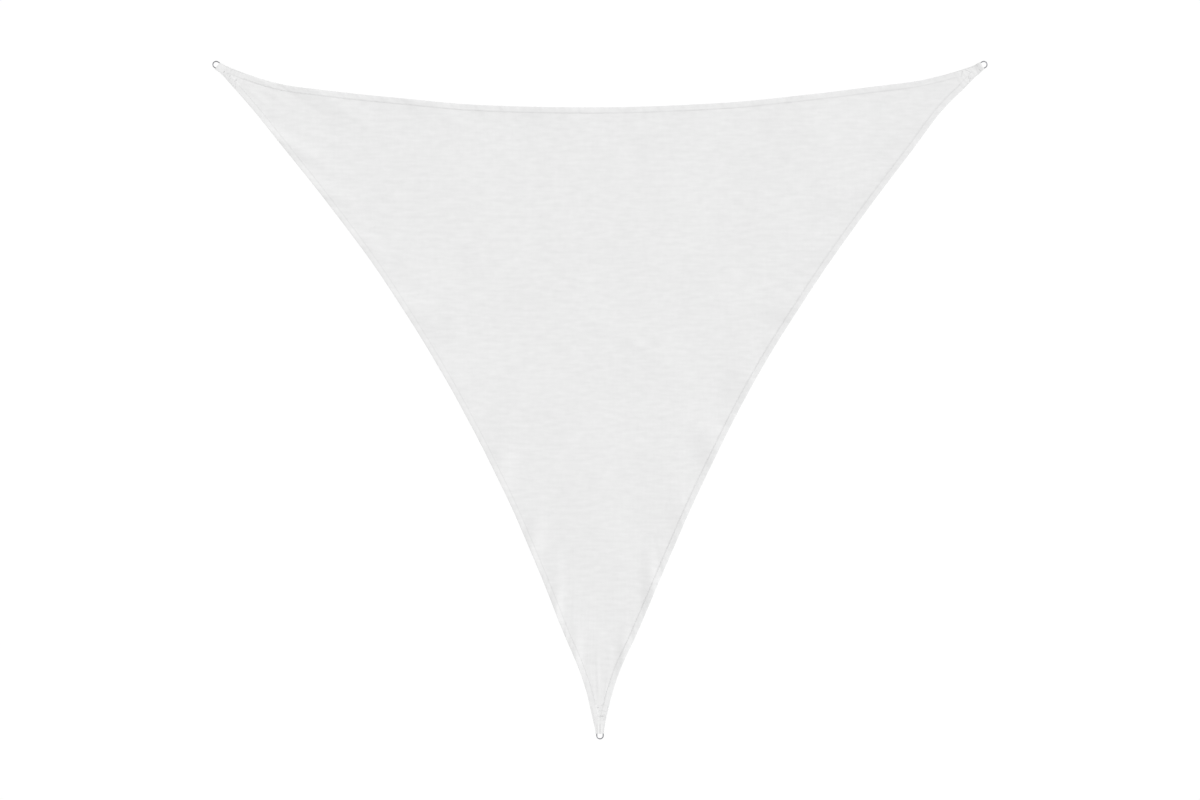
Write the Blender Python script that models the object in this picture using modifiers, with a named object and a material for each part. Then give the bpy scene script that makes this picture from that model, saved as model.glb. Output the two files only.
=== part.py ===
"""A triangular shade sail of knitted cloth, spread out on a flat surface.

The cloth is one solid with a turned hem round its three inward-bowed edges.
Under each corner of the cloth a folded webbing tab holds the straight bar of a
D-shaped steel ring, and the cloth's tip covers the tab and ends just past the bar.
Units are metres, +Z is up, the long top edge lies towards +Y, and the origin is on
the surface, under the middle of the whole sail.
"""

import math

import bmesh
import bpy
from mathutils import Vector

# Driving dimensions. Corners are where the rings' arcs have their centres.
TOP_SPAN = 3.584  # left corner to right corner
SLANT_SPAN = 3.609  # either top corner to the bottom corner
CLOTH_THICKNESS = 0.0012
HEM_THICKNESS = 0.0024  # the cloth turned over on itself
HEM_WIDTH = 0.025
HEM_STEP = 0.002  # the hem's inner edge runs out over this width

WIRE_RADIUS = 0.0025
RING_INNER_WIDTH = 0.025
RING_LEG = 0.015  # from the arc's centre to the middle of the straight bar
RING_BEND_RADIUS = 0.004  # where a leg turns into the bar
ARC_STEPS = 15
BEND_STEPS = 4
WIRE_SIDES = 8

WEBBING_THICKNESS = 0.0015
WEBBING_WIDTH = 0.020
TAB_END = 0.112  # how far the tab reaches from the ring's arc centre
TAB_SLOPE = math.radians(12)  # how steeply its upper leg comes off the bar
LOOP_STEPS = 10
PIECE_GAP = 0.0003

# How far each edge lies inside the straight line between its corners, in mm, at
# fractions of that line. The edges are walked clockwise: top from left to right,
# right from top to bottom, left from bottom to top.
EDGE_COLUMNS = ("along", "top", "right", "left")
EDGE_ROWS = (
    (0.0052, -9, -12, -12.5),
    (0.0085, -4, -7.5, -6),
    (0.0135, 6, -2.5, 0),
    (0.020, 16.5, 6.5, 6.5),
    (0.040, 43, 25, 28.5),
    (0.060, 67.5, 47, 49),
    (0.090, 95, 70, 70.5),
    (0.140, 119, 91, 91.5),
    (0.220, 149.5, 128.5, 132.5),
    (0.340, 187.5, 172.5, 179),
    (0.500, 199.5, 196, 201),
    (0.660, 178.5, 166.5, 178),
    (0.780, 136.5, 121.5, 127),
    (0.860, 101, 87.5, 82.5),
    (0.910, 79, 72, 54.5),
    (0.940, 55.5, 51.5, 35),
    (0.960, 35.5, 32.5, 20),
    (0.980, 13, 11, 5.5),
    (0.9865, 4.5, 2, -1),
    (0.9915, -5, -5, -8),
    (0.9948, -11, -11, -14.5),
)

# The swells that lift the hem off the surface: where along the edge, how high at
# the hem, how long from middle to end, and how far in they reach, in mm.
SWELL_COLUMNS = ("edge", "along", "rise", "half_length", "reach")
SWELL_ROWS = (
    ("top", 0.12, 6, 190, 210),
    ("top", 0.27, 4, 200, 170),
    ("top", 0.45, 7, 260, 230),
    ("top", 0.63, 3, 200, 160),
    ("top", 0.78, 6, 200, 200),
    ("top", 0.91, 5, 130, 140),
    ("right", 0.11, 7, 130, 190),
    ("right", 0.20, 11, 130, 230),
    ("right", 0.30, 8, 120, 220),
    ("right", 0.39, 12, 130, 260),
    ("right", 0.51, 10, 150, 230),
    ("right", 0.61, 13, 130, 280),
    ("right", 0.71, 5, 120, 160),
    ("right", 0.81, 11, 120, 170),
    ("right", 0.90, 6, 90, 110),
    ("left", 0.10, 6, 90, 110),
    ("left", 0.17, 9, 120, 150),
    ("left", 0.25, 8, 130, 190),
    ("left", 0.36, 11, 140, 230),
    ("left", 0.45, 8, 120, 200),
    ("left", 0.52, 10, 120, 220),
    ("left", 0.61, 11, 130, 210),
    ("left", 0.71, 7, 130, 180),
    ("left", 0.80, 8, 120, 170),
    ("left", 0.88, 11, 130, 200),
)

EDGE_SEGMENTS = 56
TIP_CROWDING = 0.6  # how much closer the segments stand near the tips, 0 to 1
TIP_COLUMNS = (0.0014, 0.0040)  # more columns, this far in from each end of an edge
HEM_LOOPS = (0, 0.08, 0.30, 1.0)  # shares of the hem's width, closer at its fold
# Fractions of the way from the edge to the sail's centre, inside the hem.
CLOTH_LOOPS = (0.08, 0.13, 0.20, 0.30, 0.45, 0.70, 1.0)
TIP_SUPPORT = 0.5  # the hems of a tip run this slowly towards each other
CAP_FLAT = 0.0185  # the cloth lies level over the tab's loop up to here from the ring
CAP_FOOT = 0.045  # and is down on the tab's sewn part from here
TIP_FLAT = 0.130  # the cloth leaves the tab's height here
TIP_END = 0.300  # and is down on the surface by here

# Worked out from the sizes above.
MM = 0.001
TAB_UPPER_HEIGHT = 1.5 * WEBBING_THICKNESS + PIECE_GAP  # middle of the tab's upper leg
TAB_SEAT = TAB_UPPER_HEIGHT + WEBBING_THICKNESS / 2 + PIECE_GAP  # the cloth's underside
WIRE_CORNER_RADIUS = WIRE_RADIUS / math.cos(math.pi / WIRE_SIDES)
ARC_RADIUS = RING_INNER_WIDTH / 2 + WIRE_RADIUS
LOOP_RADIUS = WIRE_CORNER_RADIUS + PIECE_GAP + WEBBING_THICKNESS / 2
BAR_HEIGHT = LOOP_RADIUS + WEBBING_THICKNESS / 2
CAP_SEAT = 2 * BAR_HEIGHT + PIECE_GAP  # the cloth's underside over the tab's loop
RING_REACH = RING_LEG + ARC_RADIUS  # from the bar to the middle of the arc
WIRE_FLAT_HALF = WIRE_RADIUS * math.tan(math.pi / WIRE_SIDES)
# The arc's height once the tilted ring stands on the edge of its wire's lower flat.
ARC_HEIGHT = (WIRE_RADIUS * RING_REACH + WIRE_FLAT_HALF * BAR_HEIGHT) / (
    RING_REACH + WIRE_FLAT_HALF
)
RING_TILT = math.asin((BAR_HEIGHT - ARC_HEIGHT) / RING_REACH)
SAIL_DEPTH = math.sqrt(SLANT_SPAN**2 - (TOP_SPAN / 2) ** 2)

CORNERS = {
    "left": Vector((-TOP_SPAN / 2, SAIL_DEPTH / 2, 0)),
    "right": Vector((TOP_SPAN / 2, SAIL_DEPTH / 2, 0)),
    "bottom": Vector((0, -SAIL_DEPTH / 2, 0)),
}
CENTRE = sum(CORNERS.values(), Vector()) / 3
EDGES = {
    "top": (CORNERS["left"], CORNERS["right"]),
    "right": (CORNERS["right"], CORNERS["bottom"]),
    "left": (CORNERS["bottom"], CORNERS["left"]),
}


def clear_scene():
    """Removes whatever the scene holds."""
    for obj in list(bpy.data.objects):
        bpy.data.objects.remove(obj, do_unlink=True)


def new_collection(name):
    """A new collection under the scene's own."""
    collection = bpy.data.collections.new(name)
    bpy.context.scene.collection.children.link(collection)
    return collection


def new_material(name, colour, roughness, metallic):
    """A Principled material of one colour."""
    material = bpy.data.materials.new(name)
    material.use_nodes = True
    shader = material.node_tree.nodes["Principled BSDF"]
    shader.inputs["Base Color"].default_value = (*colour, 1)
    shader.inputs["Roughness"].default_value = roughness
    shader.inputs["Metallic"].default_value = metallic
    return material


def knitted_cloth():
    """White knitted polyethylene."""
    return new_material("knitted_cloth_white", (0.83, 0.83, 0.83), 0.85, 0)


def webbing():
    """White woven webbing."""
    return new_material("webbing_white", (0.80, 0.80, 0.80), 0.75, 0)


def stainless_wire():
    """Polished round wire."""
    return new_material("stainless_wire", (0.62, 0.62, 0.64), 0.25, 1)


def smooth_step(low, high, value):
    """0 up to low, 1 from high on, and a soft S between."""
    share = min(max((value - low) / (high - low), 0), 1)
    return share * share * (3 - 2 * share)


def edge_inset(edge, along):
    """How far the edge lies inside its straight line, by a smooth curve through the rows."""
    column = EDGE_COLUMNS.index(edge)
    knots = [(row[0], row[column] * MM) for row in EDGE_ROWS]
    after = next((k for k in range(1, len(knots)) if along <= knots[k][0]), len(knots) - 1)
    before = after - 1

    def slope(k):
        low, high = knots[max(k - 1, 0)], knots[min(k + 1, len(knots) - 1)]
        return (high[1] - low[1]) / (high[0] - low[0])

    width = knots[after][0] - knots[before][0]
    t = (along - knots[before][0]) / width
    return (
        (2 * t**3 - 3 * t**2 + 1) * knots[before][1]
        + (t**3 - 2 * t**2 + t) * width * slope(before)
        + (3 * t**2 - 2 * t**3) * knots[after][1]
        + (t**3 - t**2) * width * slope(after)
    )


def edge_point(edge, along):
    """The point on the cloth's edge at this fraction of the line between its corners."""
    start, end = EDGES[edge]
    line = end - start
    inward = Vector((line.y, -line.x, 0)).normalized()
    return start + line * along + inward * edge_inset(edge, along)


def inward_normal(edge, along):
    """The unit normal of the cloth's edge, towards the cloth."""
    step = 0.002
    first, last = EDGE_ROWS[0][0], EDGE_ROWS[-1][0]
    before = edge_point(edge, max(along - step, first))
    after = edge_point(edge, min(along + step, last))
    run = (after - before).normalized()
    return Vector((run.y, -run.x, 0))


def seat_height(point):
    """How high the nearest corner's tab carries the underside of the cloth."""
    corner = min(CORNERS.values(), key=lambda place: (point - place).length)
    run = (point - corner).dot((CENTRE - corner).normalized())
    share = min(max((run - CAP_FLAT) / (CAP_FOOT - CAP_FLAT), 0), 1)
    return CAP_SEAT + (TAB_SEAT - CAP_SEAT) * share


def tip_lift(point):
    """0 where the cloth lies on a corner's tab, and 1 clear of all the tabs."""
    return min(smooth_step(TIP_FLAT, TIP_END, (point - c).length) for c in CORNERS.values())


def swell_height(edge, along, inset):
    """How high the swells of this edge lift the cloth, inset metres in from the hem."""
    total = 0
    for row in SWELL_ROWS:
        swell = dict(zip(SWELL_COLUMNS, row))
        if swell["edge"] != edge:
            continue
        span = (EDGES[edge][1] - EDGES[edge][0]).length
        away = abs(along - swell["along"]) * span / (swell["half_length"] * MM)
        crown = 1 - smooth_step(0, 1, away)
        fade = 1 - smooth_step(0, 1, inset / (swell["reach"] * MM))
        total += (swell["rise"] * MM * crown * fade) ** 2
    return math.sqrt(total)


def columns_round_sail():
    """(edge, fraction along it) for each column of the sheet, once round the outline."""
    first, last = EDGE_ROWS[0][0], EDGE_ROWS[-1][0]
    places = [first + step for step in TIP_COLUMNS] + [last - step for step in TIP_COLUMNS]
    for k in range(EDGE_SEGMENTS + 1):
        share = k / EDGE_SEGMENTS
        eased = share - TIP_CROWDING * math.sin(2 * math.pi * share) / (2 * math.pi)
        places.append(first + (last - first) * eased)
    return [(edge, along) for edge in EDGES for along in sorted(places)]


def sheet_point(edge, along, loop):
    """The underside of the cloth on one loop, from the edge through the hem to the centre."""
    outer = edge_point(edge, along)
    support = max((CENTRE - outer).dot(inward_normal(edge, along)), TIP_SUPPORT)
    hem = [share * HEM_WIDTH / support for share in HEM_LOOPS]
    reach = (*hem, (HEM_WIDTH + HEM_STEP) / support, *CLOTH_LOOPS)[loop]
    point = outer.lerp(CENTRE, reach)
    lift = tip_lift(point)
    swell = swell_height(edge, along, reach * support)
    point.z = seat_height(point) * (1 - lift) + lift * swell
    return point


def make_sail_cloth(material):
    """The whole cloth: a sheet laid out from its edge to its centre, thicker in the hem."""
    columns = columns_round_sail()
    loops = len(HEM_LOOPS) + 1 + len(CLOTH_LOOPS)
    mesh = bmesh.new()
    bmesh.ops.create_grid(mesh, x_segments=len(columns), y_segments=loops - 1, size=1)
    weights = mesh.verts.layers.deform.verify()
    for vert in mesh.verts:
        column = round((vert.co.x + 1) / 2 * len(columns)) % len(columns)
        loop = round((vert.co.y + 1) / 2 * (loops - 1))
        vert[weights][0] = 1.0 if loop < len(HEM_LOOPS) else 0.0
        vert.co = sheet_point(*columns[column], loop)
    bmesh.ops.remove_doubles(mesh, verts=mesh.verts, dist=1e-5)
    if sum(face.normal.z for face in mesh.faces) < 0:
        bmesh.ops.reverse_faces(mesh, faces=mesh.faces)
    data = bpy.data.meshes.new("sail_cloth")
    mesh.to_mesh(data)
    mesh.free()
    data.materials.append(material)
    data.shade_smooth()
    sail = bpy.data.objects.new("sail_cloth", data)
    sail.vertex_groups.new(name="hem")
    solidify = sail.modifiers.new("thickness", "SOLIDIFY")
    solidify.thickness = HEM_THICKNESS
    solidify.offset = 1
    solidify.vertex_group = "hem"
    solidify.thickness_vertex_group = CLOTH_THICKNESS / HEM_THICKNESS
    return sail


def arc_points(centre, radius, start, end, steps):
    """Points on an arc in a plane, ends included, angles in radians."""
    points = []
    for k in range(steps + 1):
        angle = start + (end - start) * k / steps
        points.append(
            (centre[0] + radius * math.cos(angle), centre[1] + radius * math.sin(angle))
        )
    return points


def ring_outline():
    """The ring's centre line round its opening, from the bar's middle, arc towards -X."""
    quarter = math.pi / 2
    leg_side = ARC_RADIUS - RING_BEND_RADIUS
    bend = RING_BEND_RADIUS
    steps = BEND_STEPS
    return (
        arc_points((-bend, leg_side), bend, 0, quarter, steps)
        + arc_points((-RING_LEG, 0), ARC_RADIUS, quarter, 3 * quarter, ARC_STEPS)
        + arc_points((-bend, -leg_side), bend, -quarter, 0, steps)
    )


def make_ring(name, corner, material):
    """A D-shaped ring of round wire, its bar in the tab and its arc on the surface."""
    curve = bpy.data.curves.new(name, "CURVE")
    curve.dimensions = "3D"
    curve.bevel_depth = WIRE_CORNER_RADIUS
    curve.bevel_resolution = WIRE_SIDES // 2 - 2
    outline = ring_outline()
    spline = curve.splines.new("POLY")
    spline.points.add(len(outline) - 1)
    for point, (x, y) in zip(spline.points, outline):
        point.co = (x, y, 0, 1)
        point.tilt = math.pi / WIRE_SIDES  # flats face up, down, in and out
    spline.use_cyclic_u = True
    curve.materials.append(material)
    ring = bpy.data.objects.new(name, curve)
    ring.parent = corner
    ring.location = (RING_LEG, 0, BAR_HEIGHT)
    ring.rotation_euler = (0, -RING_TILT, 0)
    return ring


def tab_path():
    """The tab's side view: out along the surface, round the bar, and back under the cloth."""
    leaves = math.pi / 2 - TAB_SLOPE
    loop = arc_points((RING_LEG, BAR_HEIGHT), LOOP_RADIUS, 1.5 * math.pi, leaves, LOOP_STEPS)
    drop = loop[-1][1] - TAB_UPPER_HEIGHT
    lands = loop[-1][0] + drop / math.tan(TAB_SLOPE)
    return [
        (TAB_END, WEBBING_THICKNESS / 2),
        *loop,
        (lands, TAB_UPPER_HEIGHT),
        (TAB_END, TAB_UPPER_HEIGHT),
    ]


def make_corner_tab(name, corner, material):
    """A strip of webbing folded round the ring's bar, sewn to the underside of the tip."""
    path = tab_path()
    mesh = bmesh.new()
    bmesh.ops.create_grid(mesh, x_segments=len(path) - 1, y_segments=1, size=1)
    for vert in mesh.verts:
        x, z = path[round((vert.co.x + 1) / 2 * (len(path) - 1))]
        vert.co = (x, vert.co.y * WEBBING_WIDTH / 2, z)
    data = bpy.data.meshes.new(name)
    mesh.to_mesh(data)
    mesh.free()
    data.materials.append(material)
    tab = bpy.data.objects.new(name, data)
    tab.parent = corner
    solidify = tab.modifiers.new("thickness", "SOLIDIFY")
    solidify.thickness = WEBBING_THICKNESS
    solidify.offset = 0
    solidify.use_even_offset = True
    return tab


def make_corner(name, collection):
    """An empty at a ring's arc centre, with +X along the corner's middle into the sail."""
    empty = bpy.data.objects.new(f"corner_{name}", None)
    place = CORNERS[name]
    others = [c for c in CORNERS.values() if c is not place]
    inward = sum(((c - place).normalized() for c in others), Vector())
    empty.location = place
    empty.rotation_euler = (0, 0, math.atan2(inward.y, inward.x))
    collection.objects.link(empty)
    return empty


def main():
    """Clears the scene and builds the sail."""
    clear_scene()
    collection = new_collection("shade_sail")
    collection.objects.link(make_sail_cloth(knitted_cloth()))
    strap = webbing()
    wire = stainless_wire()
    for name in CORNERS:
        corner = make_corner(name, collection)
        collection.objects.link(make_corner_tab(f"corner_tab_{name}", corner, strap))
        collection.objects.link(make_ring(f"ring_{name}", corner, wire))


main()
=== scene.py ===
"""The looks of a triangular shade sail of knitted cloth, laid out and seen from above.

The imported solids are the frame. This script puts finer pieces in their place: a thin
knitted sheet with its folds, a sewn hem turned over along each edge, a tip turned back at
each corner, the stitching, the webbing straps under the tips, and the rings. The outline
is the solids' own. The swells under the hem stand where the solids have them, some of
them a little lower and shorter, and the hem is a few millimetres wider. Units are metres,
+Z is up, and the top edge lies towards +Y.
"""

from __future__ import annotations

import logging
import math
import random
from dataclasses import dataclass, field
from enum import Enum
from typing import Callable, NamedTuple

import bmesh
import bpy
import numpy as np
from mathutils import Matrix, Vector


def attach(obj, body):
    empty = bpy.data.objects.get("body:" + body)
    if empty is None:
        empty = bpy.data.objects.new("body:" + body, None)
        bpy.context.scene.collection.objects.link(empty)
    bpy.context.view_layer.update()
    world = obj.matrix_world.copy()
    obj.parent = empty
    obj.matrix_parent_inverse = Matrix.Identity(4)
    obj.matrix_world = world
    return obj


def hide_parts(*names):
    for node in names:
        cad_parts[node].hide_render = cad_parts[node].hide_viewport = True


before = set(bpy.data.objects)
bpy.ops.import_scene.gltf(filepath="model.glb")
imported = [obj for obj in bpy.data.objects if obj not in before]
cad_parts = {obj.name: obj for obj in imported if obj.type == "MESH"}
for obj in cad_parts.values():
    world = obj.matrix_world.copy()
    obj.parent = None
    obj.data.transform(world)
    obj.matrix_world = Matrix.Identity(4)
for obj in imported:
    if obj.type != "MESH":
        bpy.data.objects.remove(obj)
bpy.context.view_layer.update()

log = logging.getLogger("shade_sail")

Tree = bpy.types.NodeTree
Socket = bpy.types.NodeSocket

MM = 0.001
UV_NAME = "UVMap"
MERGE_REACH = 1e-6  # points that lie closer than this become one
RIM_BANDS = 2
RIM_ANGLE = math.radians(60)  # bends sharper than this are rims


class Edge(Enum):
    """The three bowed edges, clockwise from the top left corner."""

    TOP = "top"
    RIGHT = "right"
    LEFT = "left"


class Corner(Enum):
    """The three corners."""

    LEFT = "left"
    RIGHT = "right"
    BOTTOM = "bottom"


class Slot(Enum):
    """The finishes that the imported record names."""

    CLOTH = "knitted_cloth"
    WEBBING = "webbing"
    WIRE = "ring_wire"


EDGE_ENDS = {
    Edge.TOP: (Corner.LEFT, Corner.RIGHT),
    Edge.RIGHT: (Corner.RIGHT, Corner.BOTTOM),
    Edge.LEFT: (Corner.BOTTOM, Corner.LEFT),
}

# How far each edge lies inside the straight line between its corners, in mm, at
# fractions of that line. The edges are walked clockwise: top from left to right,
# right from top to bottom, left from bottom to top.
EDGE_COLUMNS = ("along", "top", "right", "left")
EDGE_ROWS = (
    (0.0052, -9, -12, -12.5),
    (0.0085, -4, -7.5, -6),
    (0.0135, 6, -2.5, 0),
    (0.020, 16.5, 6.5, 6.5),
    (0.040, 43, 25, 28.5),
    (0.060, 67.5, 47, 49),
    (0.090, 95, 70, 70.5),
    (0.140, 119, 91, 91.5),
    (0.220, 149.5, 128.5, 132.5),
    (0.340, 187.5, 172.5, 179),
    (0.500, 199.5, 196, 201),
    (0.660, 178.5, 166.5, 178),
    (0.780, 136.5, 121.5, 127),
    (0.860, 101, 87.5, 82.5),
    (0.910, 79, 72, 54.5),
    (0.940, 55.5, 51.5, 35),
    (0.960, 35.5, 32.5, 20),
    (0.980, 13, 11, 5.5),
    (0.9865, 4.5, 2, -1),
    (0.9915, -5, -5, -8),
    (0.9948, -11, -11, -14.5),
)

# The fractions at which the cloth's own edge starts and ends, beside the rings.
EDGE_RANGE = (EDGE_ROWS[0][0], EDGE_ROWS[-1][0])


class Swell(NamedTuple):
    """A swell that lifts the hem off the surface, with its sizes in mm."""

    along: float  # its middle, as a fraction of the edge's straight line
    rise: float  # at the hem
    half_length: float
    reach: float  # how far in from the edge it dies out


SWELLS = {
    Edge.TOP: (
        Swell(0.12, 6, 190, 210),
        Swell(0.27, 4, 200, 170),
        Swell(0.45, 7, 260, 230),
        Swell(0.63, 3, 200, 160),
        Swell(0.78, 6, 200, 200),
        Swell(0.91, 5, 130, 140),
    ),
    Edge.RIGHT: (
        Swell(0.11, 7, 130, 190),
        Swell(0.20, 11, 130, 230),
        Swell(0.30, 8, 120, 220),
        Swell(0.39, 12, 130, 260),
        Swell(0.51, 9, 150, 210),
        Swell(0.61, 10, 140, 220),
        Swell(0.71, 5, 120, 160),
        Swell(0.81, 8, 120, 150),
        Swell(0.90, 6, 90, 110),
    ),
    Edge.LEFT: (
        Swell(0.10, 6, 90, 110),
        Swell(0.17, 7, 120, 140),
        Swell(0.25, 7, 130, 160),
        Swell(0.36, 9, 140, 190),
        Swell(0.45, 7, 120, 170),
        Swell(0.52, 9, 120, 190),
        Swell(0.61, 9, 130, 180),
        Swell(0.71, 6, 130, 150),
        Swell(0.80, 6, 120, 140),
        Swell(0.88, 8, 130, 150),
    ),
}


class Crease(NamedTuple):
    """A crease from packing or from lying: its ends in plan and its sizes, in mm."""

    start: tuple[float, float]
    end: tuple[float, float]
    rise: float  # of its crest
    flank: float  # the width of one side


CREASES = (
    Crease((-588, 1420), (-575, -60), 0.7, 48),
    Crease((-149, 1380), (-140, -900), 0.8, 50),
    Crease((294, 1380), (286, -820), 0.8, 50),
    Crease((738, 1400), (726, 160), 0.7, 46),
    Crease((-1120, 1216), (1180, 1206), 0.6, 44),
    Crease((-900, 872), (960, 862), 0.7, 46),
    Crease((-640, 344), (690, 334), 0.7, 46),
    Crease((-450, -84), (480, -96), 0.7, 44),
    Crease((-300, -520), (320, -528), 0.5, 40),
    Crease((-28, 341), (257, 243), 2.2, 20),
    Crease((112, 295), (364, 164), 2.3, 20),
    Crease((556, 617), (733, 533), 2.0, 19),
    Crease((224, -20), (345, -95), 1.3, 18),
    Crease((-90, 690), (30, 655), 0.8, 18),
    Crease((-980, 1250), (-880, 1120), 1.1, 22),
    Crease((905, 1215), (1040, 1265), 1.0, 22),
    Crease((-70, -505), (120, -540), 1.0, 20),
    Crease((-130, -640), (20, -700), 0.8, 18),
)


class TipFold(NamedTuple):
    """A fold that runs out of a corner where the tip is sewn, in degrees and mm."""

    bearing: float  # off the corner's middle line
    half_angle: float
    start: float  # from the corner
    end: float
    rise: float


TIP_FOLDS = {
    Corner.LEFT: (
        TipFold(-8.0, 2.6, 150, 480, 1.2),
        TipFold(1.5, 2.0, 170, 620, 0.9),
        TipFold(9.5, 2.2, 150, 400, 1.0),
    ),
    Corner.RIGHT: (
        TipFold(-9.0, 2.2, 150, 520, 0.9),
        TipFold(-2.0, 2.4, 160, 600, 1.1),
        TipFold(7.5, 2.2, 150, 420, 1.2),
    ),
    Corner.BOTTOM: (
        TipFold(-7.5, 2.2, 150, 380, 1.1),
        TipFold(2.0, 1.8, 160, 560, 1.2),
        TipFold(8.5, 2.0, 150, 340, 0.8),
    ),
}


class TipRow(NamedTuple):
    """A row of stitching on a turned-back tip, with its sizes in mm.

    Shares across the tip run from -1 at its lower side to 1 at its upper one.
    """

    at: float  # how far it is from the ring on the middle line
    slant: float  # how much further out it is at the upper side
    arch: float  # how far its middle stands out
    low: float  # the share across the tip at which it starts
    high: float  # and at which it stops

    def run(self, across: np.ndarray) -> np.ndarray:
        """How far from the ring the row is, in metres, at shares across the tip."""
        return (self.at + self.slant * across + self.arch * (1 - across**2)) * MM


TIP_ROWS = {
    Corner.LEFT: (
        TipRow(71, 5, 0, -0.5, 1.0),
        TipRow(94, -46, 0, -1.0, -0.4),
        TipRow(91, 4, 3, -1.0, -0.3),
    ),
    Corner.RIGHT: (
        TipRow(70, -22, 0, -0.9, 0.0),
        TipRow(89, 9, 0, 0.2, 1.0),
        TipRow(127, 29, 0, -0.9, -0.2),
    ),
    Corner.BOTTOM: (
        TipRow(76, 0, 0, -1.0, -0.5),
        TipRow(88, 0, 2, -1.0, 0.4),
        TipRow(93, 0, 3, -1.0, 0.3),
        TipRow(100, -6, 16, -1.0, 0.1),
        TipRow(143, 0, 0, -0.7, -0.1),
    ),
}

# The bar tacks on the tips: how far from the ring, and how far off the middle line, in mm.
TACKS = {
    Corner.LEFT: ((50, -10), (68, -10), (84, -14), (117, -17)),
    Corner.RIGHT: ((30, -13), (30, 13), (104, -22), (86, 24)),
    Corner.BOTTOM: ((91, 2), (91, -10), (132, 10)),
}


def smooth_step(low: float, high: float, value: np.ndarray) -> np.ndarray:
    """0 up to low, 1 from high on, and a soft S between."""
    share = np.clip((value - low) / (high - low), 0, 1)
    return share * share * (3 - 2 * share)


def walked(line: np.ndarray) -> np.ndarray:
    """How long a line of points is up to each of them."""
    return np.concatenate(([0], np.cumsum(np.linalg.norm(np.diff(line, axis=0), axis=1))))


def points_at(line: np.ndarray, run: np.ndarray, at: np.ndarray) -> np.ndarray:
    """The points of a line at which run, a measure that rises along it, has the values at."""
    return np.column_stack([np.interp(at, run, axis) for axis in line.T])


def linear(colour: str) -> tuple[float, float, float, float]:
    """Turns an sRGB hex colour into the linear values that shaders take.

    Args:
        colour: six hex digits after a hash sign.

    Returns:
        Linear red, green and blue, and an alpha of 1.
    """
    shares = [int(colour[k : k + 2], 16) / 255 for k in (1, 3, 5)]
    red, green, blue = (
        s / 12.92 if s <= 0.04045 else ((s + 0.055) / 1.055) ** 2.4 for s in shares
    )
    return (red, green, blue, 1.0)


def add_node(
    tree: Tree, kind: str, inputs: dict[int | str, object] | None = None, **settings: object
) -> bpy.types.Node:
    """Adds a shader node, sets it up and links what feeds it.

    Args:
        tree: the node tree that it joins.
        kind: the node's type name after ShaderNode.
        inputs: a value or an output socket for each input, by name or number.
        **settings: the node's own properties.

    Returns:
        The new node.
    """
    node = tree.nodes.new("ShaderNode" + kind)
    for name, value in settings.items():
        setattr(node, name, value)
    for key, value in (inputs or {}).items():
        if isinstance(value, Socket):
            tree.links.new(value, node.inputs[key])
        else:
            node.inputs[key].default_value = value
    return node


def make_piece(name: str, shape: bmesh.types.BMesh) -> bpy.types.Object:
    """Turns a finished shape into a smooth piece of the scene.

    Args:
        name: the piece's name.
        shape: its shape, with its place already in its points. It is freed.

    Returns:
        The new object.
    """
    mesh = bpy.data.meshes.new(name)
    shape.to_mesh(mesh)
    shape.free()
    mesh.shade_smooth()
    piece = bpy.data.objects.new(name, mesh)
    bpy.context.scene.collection.objects.link(piece)
    return piece


def grid_piece(
    name: str,
    columns: int,
    rows: int,
    place: Callable[[np.ndarray, np.ndarray], np.ndarray],
    uv_size: tuple[float, float] = (1.0, 1.0),
    tube: bool = False,
) -> bpy.types.Object:
    """Bends a grid into a piece.

    Args:
        name: the piece's name.
        columns: how many faces the grid has along.
        rows: how many it has across.
        place: gives the points for arrays of column and row numbers.
        uv_size: what the UV map spans along and across, in metres.
        tube: whether the last row meets the first, so that its ends are capped.

    Returns:
        The new object, linked to the scene.
    """
    grid = bmesh.new()
    grid.loops.layers.uv.new(UV_NAME)
    bmesh.ops.create_grid(grid, x_segments=columns, y_segments=rows, size=1, calc_uvs=True)
    mesh = bpy.data.meshes.new(name)
    grid.to_mesh(mesh)
    grid.free()
    flat = np.empty(len(mesh.vertices) * 3, np.float32)
    mesh.vertices.foreach_get("co", flat)
    flat = flat.reshape(-1, 3)
    column = np.rint((flat[:, 0] + 1) / 2 * columns).astype(int)
    row = np.rint((flat[:, 1] + 1) / 2 * rows).astype(int)
    mesh.vertices.foreach_set("co", place(column, row).astype(np.float32).ravel())
    layer = mesh.uv_layers[UV_NAME].data
    uv = np.empty(len(mesh.loops) * 2, np.float32)
    layer.foreach_get("uv", uv)
    layer.foreach_set("uv", (uv.reshape(-1, 2) * np.array(uv_size)).astype(np.float32).ravel())
    bent = bmesh.new()
    bent.from_mesh(mesh)
    bpy.data.meshes.remove(mesh)
    if tube:
        bmesh.ops.remove_doubles(bent, verts=bent.verts, dist=MERGE_REACH)
        ends = [edge for edge in bent.edges if edge.is_boundary]
        bmesh.ops.holes_fill(bent, edges=ends, sides=0)
        bmesh.ops.recalc_face_normals(bent, faces=bent.faces)
    elif sum(face.normal.z * face.calc_area() for face in bent.faces) < 0:
        bmesh.ops.reverse_faces(bent, faces=bent.faces)
    return make_piece(name, bent)


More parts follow.
